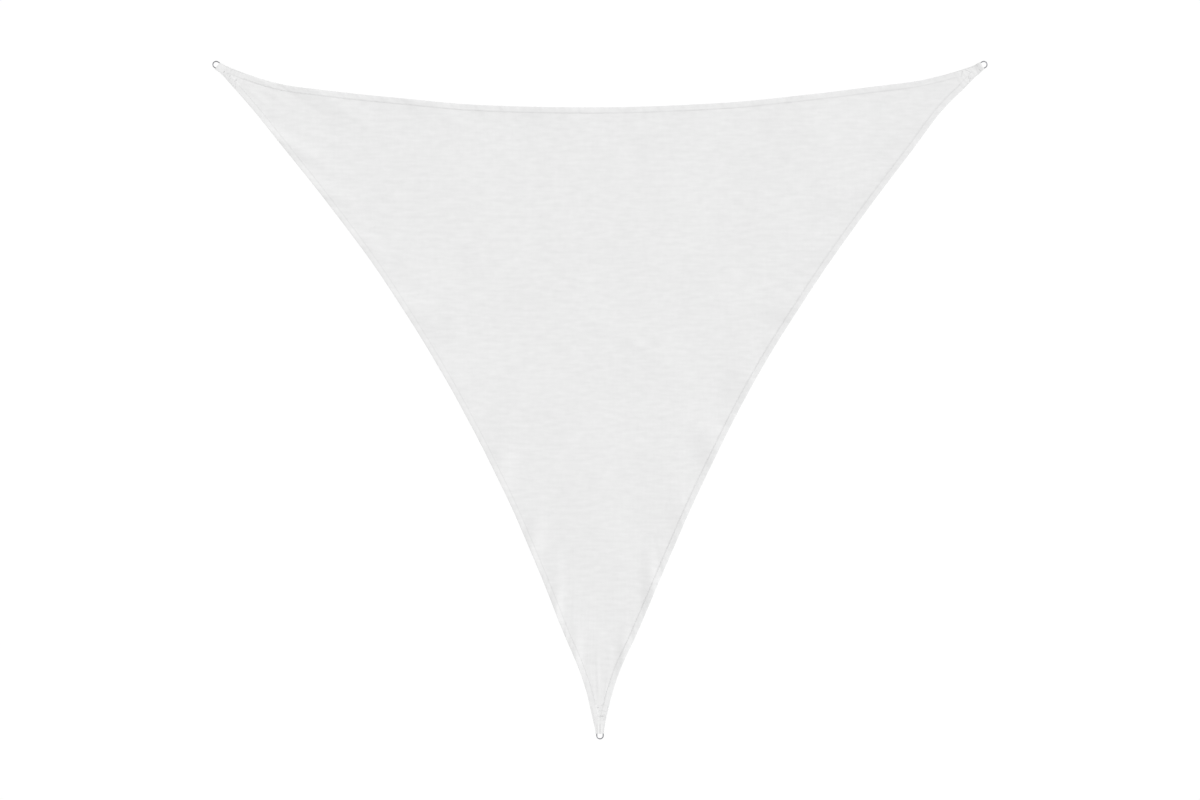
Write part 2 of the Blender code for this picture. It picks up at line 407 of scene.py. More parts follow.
def thicken(
    piece: bpy.types.Object, thickness: float, offset: int, rims: float = 0, even: bool = False
) -> None:
    """Gives a piece of cloth or webbing its thickness, and rounds its rims.

    Args:
        piece: the piece, still a bare surface.
        thickness: how thick it gets.
        offset: 1 if its surface is the underside, 0 if it is the middle.
        rims: the width of the bevel on its rims, or 0 for none.
        even: whether it stays as thick in its bends.
    """
    solid = piece.modifiers.new("thickness", "SOLIDIFY")
    solid.thickness = thickness
    solid.offset = offset
    solid.use_even_offset = even
    if rims:
        bevel = piece.modifiers.new("rims", "BEVEL")
        bevel.width = rims
        bevel.segments = RIM_BANDS
        bevel.limit_method = "ANGLE"
        bevel.angle_limit = RIM_ANGLE


def dress(piece: bpy.types.Object, material: bpy.types.Material) -> None:
    """Gives a piece its material, and lets it ride with the sail.

    Args:
        piece: the piece.
        material: its material.
    """
    piece.data.materials.append(material)
    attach(piece, "root")
    log.info("%s: %d faces, %s", piece.name, len(piece.data.polygons), material.name)


@dataclass(frozen=True)
class SailPlan:
    """The sail's plan: corners at the centres of the rings' arcs, and bowed edges."""

    top_span: float = 3.584
    slant_span: float = 3.609
    cap_flat: float = 0.0185  # the cloth lies level over the tab's loop up to here
    cap_foot: float = 0.045  # and is down on the tab's sewn part from here
    cap_seat: float = 0.009312  # the cloth's underside over the loop
    tab_seat: float = 0.0036  # and over the sewn part
    tip_flat: float = 0.130  # the cloth leaves the tab's height here
    tip_end: float = 0.300  # and is down on the surface by here
    normal_step: float = 0.002
    crowd_reach: float = 0.060  # how far from an edge's ends its stations stand closer
    least_turn: float = 0.05  # of a hem's edge against its tip's middle line
    fine: int = 8001  # the stations that an edge is laid out with
    coarse: int = 1001  # and measured with

    def corner(self, corner: Corner) -> np.ndarray:
        """Places a corner.

        Args:
            corner: the corner.

        Returns:
            Its plan point.
        """
        half = self.top_span / 2
        depth = math.sqrt(self.slant_span**2 - half**2)
        places = {
            Corner.LEFT: (-half, depth / 2),
            Corner.RIGHT: (half, depth / 2),
            Corner.BOTTOM: (0.0, -depth / 2),
        }
        return np.array(places[corner])

    def centre(self) -> np.ndarray:
        """The mean of the corners."""
        return sum(self.corner(corner) for corner in Corner) / len(Corner)

    def inward_angle(self, corner: Corner) -> float:
        """Finds the bearing of a corner's middle line into the sail.

        Args:
            corner: the corner.

        Returns:
            The bearing in radians.
        """
        place = self.corner(corner)
        others = [self.corner(other) - place for other in Corner if other is not corner]
        inward = sum(other / np.linalg.norm(other) for other in others)
        return math.atan2(inward[1], inward[0])

    def axes(self, corner: Corner) -> tuple[np.ndarray, np.ndarray]:
        """Finds a corner's own directions.

        Args:
            corner: the corner.

        Returns:
            Unit vectors along its middle line into the sail, and to the left of it.
        """
        angle = self.inward_angle(corner)
        ahead = np.array((math.cos(angle), math.sin(angle)))
        return ahead, np.array((-ahead[1], ahead[0]))

    def corner_frame(self, corner: Corner) -> Matrix:
        """Finds the matrix of a corner.

        Args:
            corner: the corner.

        Returns:
            A matrix with its origin there and +X along the middle line.
        """
        x, y = self.corner(corner)
        turn = Matrix.Rotation(self.inward_angle(corner), 4, "Z")
        return Matrix.Translation((x, y, 0)) @ turn

    def line(self, edge: Edge) -> tuple[np.ndarray, np.ndarray]:
        """The corner an edge starts from, and the way from there to its other corner."""
        start, end = (self.corner(corner) for corner in EDGE_ENDS[edge])
        return start, end - start

    def span(self, edge: Edge) -> float:
        """The straight length between an edge's corners."""
        return float(np.linalg.norm(self.line(edge)[1]))

    def inset(self, edge: Edge, along: np.ndarray) -> np.ndarray:
        """How far an edge lies inside its straight line.

        Args:
            edge: the edge.
            along: fractions of the line between its corners.

        Returns:
            The distance at each fraction, by a smooth curve through the table's rows.
        """
        table = np.array(EDGE_ROWS)
        knots = table[:, 0]
        depths = table[:, EDGE_COLUMNS.index(edge.value)] * MM
        last = len(knots) - 1
        low = np.maximum(np.arange(last + 1) - 1, 0)
        high = np.minimum(np.arange(last + 1) + 1, last)
        slopes = (depths[high] - depths[low]) / (knots[high] - knots[low])
        before = np.clip(np.searchsorted(knots, along) - 1, 0, last - 1)
        after = before + 1
        width = knots[after] - knots[before]
        t = (along - knots[before]) / width
        return (
            (2 * t**3 - 3 * t**2 + 1) * depths[before]
            + (t**3 - 2 * t**2 + t) * width * slopes[before]
            + (3 * t**2 - 2 * t**3) * depths[after]
            + (t**3 - t**2) * width * slopes[after]
        )

    def edge_points(self, edge: Edge, along: np.ndarray) -> np.ndarray:
        """Finds points on the cloth's edge.

        Args:
            edge: the edge.
            along: fractions of the line between its corners.

        Returns:
            A plan point for each fraction.
        """
        start, line = self.line(edge)
        inward = np.array((line[1], -line[0])) / np.linalg.norm(line)
        return start + np.outer(along, line) + np.outer(self.inset(edge, along), inward)

    def inward(self, edge: Edge, along: np.ndarray) -> np.ndarray:
        """Finds the way from the cloth's edge into the cloth.

        Args:
            edge: the edge.
            along: fractions of the line between its corners.

        Returns:
            A unit normal in plan for each fraction.
        """
        first, last = EDGE_RANGE
        before = self.edge_points(edge, np.maximum(along - self.normal_step, first))
        after = self.edge_points(edge, np.minimum(along + self.normal_step, last))
        run = after - before
        run /= np.linalg.norm(run, axis=1)[:, None]
        return np.stack((run[:, 1], -run[:, 0]), axis=1)

    def stations(self, edge: Edge, count: int, crowding: float = 0.0) -> np.ndarray:
        """Fractions along an edge that are evenly spaced on its curve, or closer at its ends.

        Args:
            edge: the edge.
            count: how many stations there are.
            crowding: how many more stations a metre has at the ends than in the middle,
                as a share.

        Returns:
            The fractions, from the edge's first end to its last.
        """
        dense = np.linspace(*EDGE_RANGE, self.fine)
        lengths = np.diff(walked(self.edge_points(edge, dense)))
        middles = np.cumsum(lengths) - lengths / 2
        end = np.minimum(middles, lengths.sum() - middles)
        lengths = lengths * (1 + crowding * np.exp(-end / self.crowd_reach))
        run = np.concatenate(([0], np.cumsum(lengths)))
        return np.interp(np.linspace(0, run[-1], count), run, dense)

    def curve_length(self, edge: Edge) -> float:
        """The length of an edge's curve."""
        return float(walked(self.edge_points(edge, self.stations(edge, self.coarse)))[-1])

    def room(self, edge: Edge, along: np.ndarray) -> np.ndarray:
        """Finds how far a hem can turn in before it meets the next one on a middle line.

        Args:
            edge: the hem's edge.
            along: fractions of the line between its corners.

        Returns:
            The room at each fraction.
        """
        points, inward = self.edge_points(edge, along), self.inward(edge, along)
        rooms = []
        for corner in EDGE_ENDS[edge]:
            _, aside = self.axes(corner)
            away = np.abs((points - self.corner(corner)) @ aside)
            rooms.append(away / np.maximum(np.abs(inward @ aside), self.least_turn))
        return np.minimum(*rooms)

    def local(self, corner: Corner, points: np.ndarray) -> np.ndarray:
        """Plan points as seen from a corner: along its middle line, and off it."""
        return (points - self.corner(corner)) @ np.column_stack(self.axes(corner))

    def nearest(self, points: np.ndarray) -> np.ndarray:
        """Sees plan points from the corner that each one is nearest to.

        Args:
            points: the plan points.

        Returns:
            How far each one is along that corner's middle line, and off it.
        """
        places = np.array([self.local(corner, points) for corner in Corner])
        corners = np.argmin(np.linalg.norm(places, axis=2), axis=0)
        return places[corners, np.arange(len(points))]

    def seat(self, points: np.ndarray) -> np.ndarray:
        """Finds how high the nearest corner's tab carries the underside of the cloth.

        Args:
            points: plan points.

        Returns:
            The height at each.
        """
        run = self.nearest(points)[:, 0]
        share = np.clip((run - self.cap_flat) / (self.cap_foot - self.cap_flat), 0, 1)
        return self.cap_seat + (self.tab_seat - self.cap_seat) * share

    def tip_lift(self, points: np.ndarray) -> np.ndarray:
        """0 where the cloth lies on a corner's tab, and 1 clear of all the tabs."""
        away = [np.linalg.norm(points - self.corner(corner), axis=1) for corner in Corner]
        return smooth_step(self.tip_flat, self.tip_end, np.minimum.reduce(away))


@dataclass
class Relief:
    """How high the cloth's underside lies: swells, creases, tip folds and puckers."""

    plan: SailPlan
    crest: float = 0.012  # how round a crease's crest is
    crease_ends: float = 0.25  # the share of a crease on which it rises, or dies out
    wander: float = 0.006  # how far a crease winds from side to side
    wander_length: float = 0.11
    uneven: float = 0.28  # the share of a crease's rise that comes and goes along it
    uneven_length: float = 0.083
    uneven_step: float = 2.1  # so that no two creases come and go together
    fold_start_share: float = 0.25  # of a tip fold's length, on which it rises
    mottle_rise: float = 0.0007  # the slack of the whole cloth
    mottle_waves: int = 18
    mottle_lengths: tuple[float, float] = (0.16, 0.52)
    pucker_rise: float = 0.0006  # the hem's gathers between its stitches
    pucker_reach: float = 0.055
    pucker_waves: int = 9
    pucker_lengths: tuple[float, float] = (0.05, 0.17)
    wave_limits: tuple[float, float] = (-1, 3)  # the sum of the waves is cut off here
    middle_fade: float = 0.06  # the gathers of a tip's two hems die out by its middle line
    middle_ends: tuple[float, float] = (0.8, 1.4)  # and reach it only past here
    tip_support: float = 0.5  # the hems of a tip run this slowly towards each other
    seed: int = 7
    ray_count: int = 1500  # to each edge
    walk: np.ndarray = field(init=False)  # each ray's edge number plus the fraction along it
    angle: np.ndarray = field(init=False)
    radius: np.ndarray = field(init=False)
    support: np.ndarray = field(init=False)  # how far the centre is in from the edge there
    slack: list[tuple[float, float, float, float]] = field(init=False)
    gathers: list[tuple[float, float, float]] = field(init=False)

    def __post_init__(self) -> None:
        """Lays out the rays from the centre to the edge, and draws the random waves."""
        draw = random.Random(self.seed)
        self.slack = []
        for _ in range(self.mottle_waves):
            bearing, length = draw.uniform(0, math.pi), draw.uniform(*self.mottle_lengths)
            number = 2 * math.pi / length
            phase = draw.uniform(0, 2 * math.pi)
            self.slack.append(
                (number * math.cos(bearing), number * math.sin(bearing), phase, length)
            )
        self.gathers = []
        for _ in range(self.pucker_waves):
            length, phase = draw.uniform(*self.pucker_lengths), draw.uniform(0, 2 * math.pi)
            self.gathers.append((2 * math.pi / length, phase, length))
        along = np.linspace(*EDGE_RANGE, self.ray_count)
        rays = []
        for number, edge in enumerate(Edge):
            spoke = self.plan.edge_points(edge, along) - self.plan.centre()
            angle = np.arctan2(spoke[:, 1], spoke[:, 0])
            support = -(spoke * self.plan.inward(edge, along)).sum(axis=1)
            support = np.maximum(support, self.tip_support)
            rays.append((number + along, angle, np.linalg.norm(spoke, axis=1), support))
        self.walk, angles, self.radius, self.support = np.hstack(rays)
        self.angle = np.unwrap(angles)

    def rays(self, points: np.ndarray) -> tuple[np.ndarray, np.ndarray, np.ndarray]:
        """Sees where points lie, from the centre towards the edge.

        Args:
            points: plan points.

        Returns:
            The edge's number, the fraction along it, and how far in from it they are.
        """
        spoke = points - self.plan.centre()
        angle = np.arctan2(spoke[:, 1], spoke[:, 0])
        angle = np.where(angle > self.angle[0], angle - 2 * math.pi, angle)
        walk, radius, support = (
            np.interp(angle, self.angle[::-1], ray[::-1])
            for ray in (self.walk, self.radius, self.support)
        )
        inset = (1 - np.linalg.norm(spoke, axis=1) / radius) * support
        edge = np.clip(np.floor(walk), 0, len(Edge) - 1).astype(int)
        return edge, walk - edge, inset

    def swells(self, edge: np.ndarray, along: np.ndarray, inset: np.ndarray) -> np.ndarray:
        """Finds how high the swells under the hem lift the cloth.

        Args:
            edge: the number of the edge that each point belongs to.
            along: the fractions along it.
            inset: how far in from it the points are.

        Returns:
            The lift at each point.
        """
        total = np.zeros(len(edge))
        for number, side in enumerate(Edge):
            for swell in SWELLS[side]:
                reach = self.plan.span(side) / (swell.half_length * MM)
                crown = 1 - smooth_step(0, 1, np.abs(along - swell.along) * reach)
                fade = 1 - smooth_step(0, 1, inset / (swell.reach * MM))
                total += (edge == number) * (swell.rise * MM * crown * fade) ** 2
        return np.sqrt(total)

    def creases(self, points: np.ndarray) -> np.ndarray:
        """Finds how high the creases raise the cloth.

        Args:
            points: plan points.

        Returns:
            The rise at each.
        """
        total = np.zeros(len(points))
        for number, crease in enumerate(CREASES):
            start = np.array(crease.start) * MM
            line = np.array(crease.end) * MM - start
            length = np.linalg.norm(line)
            ahead = line / length
            offset = points - start
            run = offset @ ahead
            away = offset @ np.array((-ahead[1], ahead[0]))
            wander = self.wander * np.sin(run / self.wander_length + number)
            depth = np.sqrt((away - wander) ** 2 + self.crest**2) - self.crest
            ends = smooth_step(0, self.crease_ends * length, run)
            ends *= 1 - smooth_step((1 - self.crease_ends) * length, length, run)
            wave = np.sin(run / self.uneven_length + self.uneven_step * number)
            rise = crease.rise * MM * (1 - self.uneven + self.uneven * wave)
            total += rise * ends * np.exp(-depth / (crease.flank * MM))
        return total

    def tip_folds(self, points: np.ndarray) -> np.ndarray:
        """Finds how high the folds out of the corners raise the cloth.

        Args:
            points: plan points.

        Returns:
            The rise at each.
        """
        total = np.zeros(len(points))
        for corner in Corner:
            offset = points - self.plan.corner(corner)
            away = np.linalg.norm(offset, axis=1)
            bearing = np.arctan2(offset[:, 1], offset[:, 0]) - self.plan.inward_angle(corner)
            bearing = np.degrees((bearing + math.pi) % (2 * math.pi) - math.pi)
            for fold in TIP_FOLDS[corner]:
                start, end = fold.start * MM, fold.end * MM
                full = start + self.fold_start_share * (end - start)
                run = smooth_step(start, full, away) * (1 - smooth_step(full, end, away))
                across = np.exp(-(((bearing - fold.bearing) / fold.half_angle) ** 2))
                total += fold.rise * MM * run * across
        return total

    def mottle(self, points: np.ndarray) -> np.ndarray:
        """Finds how high the slack of the whole cloth is, as a sum of long waves.

        Args:
            points: plan points.

        Returns:
            The rise at each.
        """
        total = np.zeros(len(points))
        for across, up, phase, length in self.slack:
            share = length / self.mottle_lengths[1]
            total += share * np.cos(points[:, 0] * across + points[:, 1] * up + phase)
        spread = math.sqrt(self.mottle_waves) / 2
        return self.mottle_rise * (1 + np.clip(total / spread, *self.wave_limits))

    def puckers(self, edge: np.ndarray, along: np.ndarray, inset: np.ndarray) -> np.ndarray:
        """Finds how high the gathers beside the hem's seam are.

        Args:
            edge: the number of the edge that each point belongs to.
            along: the fractions along it.
            inset: how far in from it the points are.

        Returns:
            The rise at each point.
        """
        total = np.zeros(len(edge))
        spans = np.array([self.plan.span(side) for side in Edge])
        run = along * spans[edge] + edge
        for number, phase, length in self.gathers:
            total += math.sqrt(length) * np.cos(run * number + phase)
        spread = math.sqrt(sum(length for _, _, length in self.gathers) / 2)
        rise = self.pucker_rise * (1 + np.clip(total / spread, *self.wave_limits))
        return rise * np.exp(-np.maximum(inset, 0) / self.pucker_reach)

    def height(self, points: np.ndarray) -> np.ndarray:
        """Finds the height of the cloth's underside.

        Args:
            points: plan points.

        Returns:
            The height at each.
        """
        edge, along, inset = self.rays(points)
        lift = self.plan.tip_lift(points)
        run, off = self.plan.nearest(points).T
        apart = np.maximum(
            smooth_step(0, self.middle_fade, np.abs(off)), smooth_step(*self.middle_ends, run)
        )
        lying = self.swells(edge, along, inset) + self.creases(points)
        lying += self.mottle(points) + self.puckers(edge, along, inset) * apart
        return self.plan.seat(points) * (1 - lift) + lift * lying + self.tip_folds(points)


class Wave(NamedTuple):
    """A run of even ridges: a course of loops, a rib or the twist of a thread."""

    pitch: float  # from one ridge to the next
    direction: str  # the axis that they follow each other on
    bend: float = 0.0

    def scale(self) -> float:
        """The scale at which a wave texture has this pitch."""
        return math.pi / 10 / self.pitch


@dataclass(frozen=True)
class Finish:
    """A finish: a pattern that runs from a dark tone to a light one."""

    name: str
    light: str
    dark: str
    roughness: float
    roughness_spread: float = 0.0  # how much rougher the light places are
    relief: float = 0.0  # how far the pattern stands out
    relief_strength: float = 1.0
    metallic: float = 0.0
    specular: float = 0.5

    def pattern(self, tree: Tree) -> tuple[Socket, Socket]:
        """Adds the pattern and gives its tone and its height. Each finish has its own."""
        raise NotImplementedError

    @staticmethod
    def crossed(tree: Tree, place: Socket, waves: tuple[Wave, Wave]) -> Socket:
        """Adds two waves that run across each other, as the threads of a cloth do.

        Args:
            tree: the material's node tree.
            place: the coordinates that they follow.
            waves: the two waves.

        Returns:
            Their product, from 0 to 1.
        """
        fronts = [
            add_node(
                tree,
                "TexWave",
                {"Vector": place, "Scale": wave.scale(), "Distortion": wave.bend},
                bands_direction=wave.direction,
            ).outputs["Fac"]
            for wave in waves
        ]
        return add_node(
            tree, "Math", {0: fronts[0], 1: fronts[1]}, operation="MULTIPLY"
        ).outputs[0]

    def build(self) -> bpy.types.Material:
        """Makes the material.

        Returns:
            The material.
        """
        material = bpy.data.materials.new(self.name)
        material.use_nodes = True
        tree = material.node_tree
        shader = tree.nodes["Principled BSDF"]
        shader.inputs["Roughness"].default_value = self.roughness
        shader.inputs["Metallic"].default_value = self.metallic
        shader.inputs["Specular IOR Level"].default_value = self.specular
        tone, height = self.pattern(tree)
        colour = add_node(
            tree,
            "Mix",
            {"Factor": tone, "A": linear(self.dark), "B": linear(self.light)},
            data_type="RGBA",
            clamp_factor=False,
        )
        tree.links.new(colour.outputs["Result"], shader.inputs["Base Color"])
        if self.relief:
            relief = {"Height": height, "Strength": self.relief_strength, "Distance": self.relief}
            bump = add_node(tree, "Bump", relief)
            tree.links.new(bump.outputs["Normal"], shader.inputs["Normal"])
        if self.roughness_spread:
            rough = {0: tone, 1: self.roughness_spread, 2: self.roughness}
            rough = add_node(tree, "Math", rough, operation="MULTIPLY_ADD")
            tree.links.new(rough.outputs[0], shader.inputs["Roughness"])
        return material


class Patch(NamedTuple):
    """One kind of unevenness in the knit."""

    wide: float
    high: float
    detail: float  # how finely it breaks up
    weight: float  # how much it turns dark cloth light
    rise: float  # how far it stands out


@dataclass(frozen=True)
class KnittedPolyethylene(Finish):
    """White raschel knit of polyethylene tape.

    The eye sees an even matt white. It is broken by thin bright and dull dashes along the
    tapes, as long as a finger, by the tighter chains across them, by small slubs where a
    tape is doubled, and by whole stretches that are a shade lighter or darker.
    """

    name: str = "knitted_polyethylene_white"
    light: str = "#e1e1e1"
    dark: str = "#d8d8d8"
    roughness: float = 0.72
    specular: float = 0.3
    relief: float = 0.0006
    # Real chains stand 2 to 3 mm apart and real tapes are 2 mm wide. Both are drawn coarser
    # to show.
    courses: tuple[Wave, Wave] = (Wave(0.0040, "Y", 0.6), Wave(0.0062, "X", 1.5))
    course_share: float = 0.2  # how far the single loops stand out beside the patches
    # how much lighter the loops' tops are than the gaps between them: painted shade in the gaps
    painted_course_shade: float = 0.3
    patches: tuple[Patch, ...] = (
        Patch(wide=0.075, high=0.018, detail=1.5, weight=1.3, rise=0.5),  # dashes
        Patch(wide=0.020, high=0.050, detail=1.0, weight=0.35, rise=0.2),  # tight chains
        Patch(wide=0.028, high=0.028, detail=1.0, weight=0.45, rise=0.0),  # slubs
        Patch(wide=0.320, high=0.320, detail=3.0, weight=0.6, rise=0.0),  # whole stretches
    )
    base: float = -0.815  # what brings the sum of the patches to the middle of its tones
    seam_row: int | None = None  # the row of a hem's section that its thread runs on
    seam_painted_shade: float = 0.6  # how much the tone is darkened along the seam: painted shade of its groove
    seam_reach: float = 0.0035

    def pattern(self, tree: Tree) -> tuple[Socket, Socket]:
        """Adds the loops, the patches over them and, on a hem, painted shade along the seam.

        Args:
            tree: the material's node tree.

        Returns:
            How light the knit is, and how far it stands out.
        """
        place = add_node(tree, "TexCoord").outputs["Object"]
        knit = self.crossed(tree, place, self.courses)
        height = add_node(
            tree, "Math", {0: knit, 1: self.course_share}, operation="MULTIPLY"
        ).outputs[0]
        # the loops' tone follows their height: the gaps between them are painted darker, as shade
        tone = add_node(
            tree,
            "Math",
            {0: height, 1: self.painted_course_shade, 2: self.base},
            operation="MULTIPLY_ADD",
        ).outputs[0]
        for patch in self.patches:
            scale = (1 / patch.wide, 1 / patch.high, 1)
            stretched = add_node(tree, "Mapping", {"Vector": place, "Scale": scale})
            noise = {"Vector": stretched.outputs[0], "Scale": 1.0, "Detail": patch.detail}
            noise = add_node(tree, "TexNoise", noise).outputs["Fac"]
            tone, height = (
                add_node(
                    tree, "Math", {0: noise, 1: weight, 2: below}, operation="MULTIPLY_ADD"
                ).outputs[0]
                for weight, below in ((patch.weight, tone), (patch.rise, height))
            )
        # on a hem, the seam's groove is painted darker, as shade
        if self.seam_row is not None:
            tone = self.paint_shade_on_seam(tree, tone)
        return tone, height

    def paint_shade_on_seam(self, tree: Tree, tone: Socket) -> Socket:
        """Paints shade along a hem's seam: the knit is darker where its groove lies.

        Args:
            tree: the material's node tree. The hem's UV map counts a millimetre for each
                row across its section.
            tone: how light the knit is.

        Returns:
            How light the knit is, with the painted shade along its seam.
        """
        across = add_node(tree, "UVMap", uv_map=UV_NAME).outputs["UV"]
        across = add_node(tree, "SeparateXYZ", {"Vector": across}).outputs["Y"]
        away = {0: across, 1: self.seam_row * MM}
        away = add_node(tree, "Math", away, operation="SUBTRACT").outputs[0]
        away = add_node(tree, "Math", {0: away}, operation="ABSOLUTE").outputs[0]
        # painted shade: darkest on the seam row, gone by seam_reach from it
        shade = add_node(
            tree,
            "MapRange",
            {"Value": away, "From Max": self.seam_reach, "To Min": self.seam_painted_shade, "To Max": 0.0},
            interpolation_type="SMOOTHSTEP",
        ).outputs["Result"]
        return add_node(tree, "Math", {0: tone, 1: shade}, operation="SUBTRACT").outputs[0]


@dataclass(frozen=True)
class WovenPolyester(Finish):
    """White polyester webbing: tight warp ribs along it and fine weft ridges across."""

    name: str = "woven_polyester_white"
    light: str = "#e4e4e4"
    # the dark tone is painted shade in the weave's hollows
    dark: str = "#c9c9ca"
    roughness: float = 0.6
    relief: float = 0.0003
    relief_strength: float = 0.8
    threads: tuple[Wave, Wave] = (Wave(0.0024, "X", 0.4), Wave(0.0020, "Y"))

    def pattern(self, tree: Tree) -> tuple[Socket, Socket]:
        """Adds the weave.

        Args:
            tree: the material's node tree. The UV map runs along and across the strap, in
                metres.

        Returns:
            The tone and the height, which are the same: the weave's hollows are painted darker, as
            shade.
        """
        place = add_node(tree, "TexCoord").outputs["UV"]
        weave = self.crossed(tree, place, self.threads)
        # the tone follows the height, so the hollows are painted darker, as shade
        return weave, weave


@dataclass(frozen=True)
class TwistedThread(Finish):
    """White twisted polyester sewing thread, a little shinier than the cloth."""

    name: str = "twisted_polyester_thread_white"
    light: str = "#e2e2e2"
    # the dark tone is painted shade in the twist's grooves
    dark: str = "#cbcbcc"
    roughness: float = 0.5
    twist: Wave = Wave(0.0008, "DIAGONAL")

    def pattern(self, tree: Tree) -> tuple[Socket, Socket]:
        """Adds the twist.

        Args:
            tree: the material's node tree.

        Returns:
            The tone and the height, which are the same: the twist's grooves are painted darker, as
            shade.
        """
        place = add_node(tree, "TexCoord").outputs["Object"]
        twist = {"Vector": place, "Scale": self.twist.scale()}
        twist = add_node(tree, "TexWave", twist, bands_direction=self.twist.direction)
        # the twist shows only as colour: its grooves are painted darker, as shade
        return twist.outputs["Fac"], twist.outputs["Fac"]


@dataclass(frozen=True)
class DrawnStainless(Finish):
    """Stainless steel wire, drawn and tumbled, with faint scuffs; its dark grey is a painted dark
    reflection.
    """

    name: str = "drawn_stainless_steel"
    # both greys are darker than real steel: a painted dark reflection; the noise between them is
    # scuffs
    light: str = "#96969a"
    dark: str = "#828288"
    roughness: float = 0.34
    roughness_spread: float = 0.12
    metallic: float = 1.0
    scuff_size: float = 0.004
    scuff_detail: float = 4.0

    def pattern(self, tree: Tree) -> tuple[Socket, Socket]:
        """Adds the scuffs.

        Args:
            tree: the material's node tree.

        Returns:
            The tone and the height, which are the same.
        """
        place = add_node(tree, "TexCoord").outputs["Object"]
        scuff = {"Vector": place, "Scale": 1 / self.scuff_size, "Detail": self.scuff_detail}
        scuff = add_node(tree, "TexNoise", scuff).outputs["Fac"]
        return scuff, scuff


@dataclass
class ClothSheet:
    """The knitted sheet, from one hem's fold to the other."""

    plan: SailPlan
    relief: Relief
    columns: int = 222
    rows: int = 220
    cut_rows: int = 8  # rows on the straight cut at each upper tip
    crowding: float = 3.0  # how much closer the columns and rows stand at the tips
    thickness: float = 0.0012
    nose: float = 0.00125  # the hem's fold outside the sheet

    def run(self, edge: Edge, count: int) -> np.ndarray:
        """Lays out the sheet's own outline along one edge, just inside the hem's fold.

        Args:
            edge: the edge.
            count: how many points there are. They stand closer together at its ends.

        Returns:
            The points.
        """
        along = self.plan.stations(edge, count, self.crowding)
        return self.plan.edge_points(edge, along) + self.nose * self.plan.inward(edge, along)

    def side(self, top_end: np.ndarray, edge_run: np.ndarray) -> np.ndarray:
        """One side of the sheet: the tip's straight cut, then the slanting edge."""
        shares = np.linspace(0, 1, self.cut_rows + 1)[:-1, None]
        return np.vstack((top_end + shares * (edge_run[0] - top_end), edge_run))

    @staticmethod
    def shares(line: np.ndarray) -> np.ndarray:
        """How far along a line of points each one is, as a share of its length."""
        walk = walked(line)
        return walk / walk[-1]

    def build(self) -> bpy.types.Object:
        """Makes the sheet.

        Returns:
            The new object.
        """
        top = self.run(Edge.TOP, self.columns + 1)
        edge_rows = self.rows - self.cut_rows + 1
        left = self.side(top[0], self.run(Edge.LEFT, edge_rows)[::-1])
        right = self.side(top[-1], self.run(Edge.RIGHT, edge_rows))
        across = self.shares(top)
        down = (self.shares(left) + self.shares(right)) / 2
        bottom = left[-1] + across[:, None] * (right[-1] - left[-1])

        def place(column: np.ndarray, row: np.ndarray) -> np.ndarray:
            """Spreads the sheet's points evenly between its four sides.

            Args:
                column: the points' numbers along the top.
                row: their numbers down the sides.

            Returns:
                The points.
            """
            u, v = across[column][:, None], down[row][:, None]
            plan = (1 - v) * top[column] + v * bottom[column]
            plan += (1 - u) * left[row] + u * right[row]
            plan -= (1 - u) * (1 - v) * top[0] + u * (1 - v) * top[-1]
            plan -= (1 - u) * v * bottom[0] + u * v * bottom[-1]
            return np.column_stack((plan, self.relief.height(plan)))

        sheet = grid_piece("cloth_sheet", self.columns, self.rows, place)
        thicken(sheet, self.thickness, offset=1)
        return sheet


